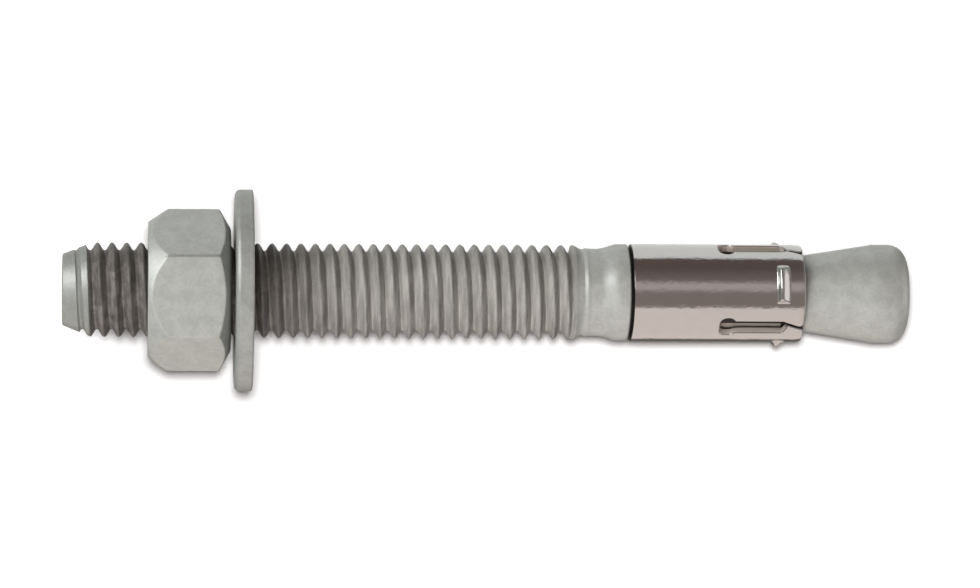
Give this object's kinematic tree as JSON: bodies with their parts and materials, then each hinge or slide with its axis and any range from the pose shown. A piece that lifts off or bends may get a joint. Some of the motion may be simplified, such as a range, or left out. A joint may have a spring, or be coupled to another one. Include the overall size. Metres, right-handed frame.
{
  "type": "wedge anchor",
  "caption": "Stud wedge anchor with hex nut, flat washer and a slotted expansion clip round its coned end, for fastening to drilled concrete.",
  "frame": {"origin": "centre of the flat threaded end that the anchor stands on, on the stud's axis", "axes": "+Z along the stud's axis into the hole, towards the coned end, and up as the anchor stands; -Y is the side of the clip's front finger"},
  "size_m": [0.0272, 0.0272, 0.1143],
  "materials": {
    "galvanised_stud": "hot-dip galvanised, matt grey",
    "stainless_sheet": "stainless sheet, bright rolled",
    "galvanised_nut": "hot-dip galvanised, matt grey",
    "galvanised_washer": "hot-dip galvanised, matt grey"
  },
  "bodies": {
    "stud": {"anchor_body": "galvanised_stud"},
    "washer": {"washer": "galvanised_washer"},
    "nut": {"hex_nut": "galvanised_nut"},
    "clip": {"expansion_clip": "stainless_sheet"}
  },
  "joints": [
    {"name": "washer_slide", "type": "slide", "parent": "stud", "child": "washer", "axis": [0, 0, 1], "range_m": [-0.0114, 0.0451]},
    {"name": "nut_turn", "type": "hinge", "parent": "washer", "child": "nut", "pos_m": [0, 0, 0], "axis": [0, 0, 1], "range_deg": [-2088, 8280]},
    {"name": "clip_spin", "type": "hinge", "parent": "stud", "child": "clip", "pos_m": [0, 0, 0], "axis": [0, 0, 1], "continuous": true}
  ],
  "couplings": [
    {"joint": "washer_slide", "follows": "nut_turn", "m_per_rad": 0.00031096}
  ]
}
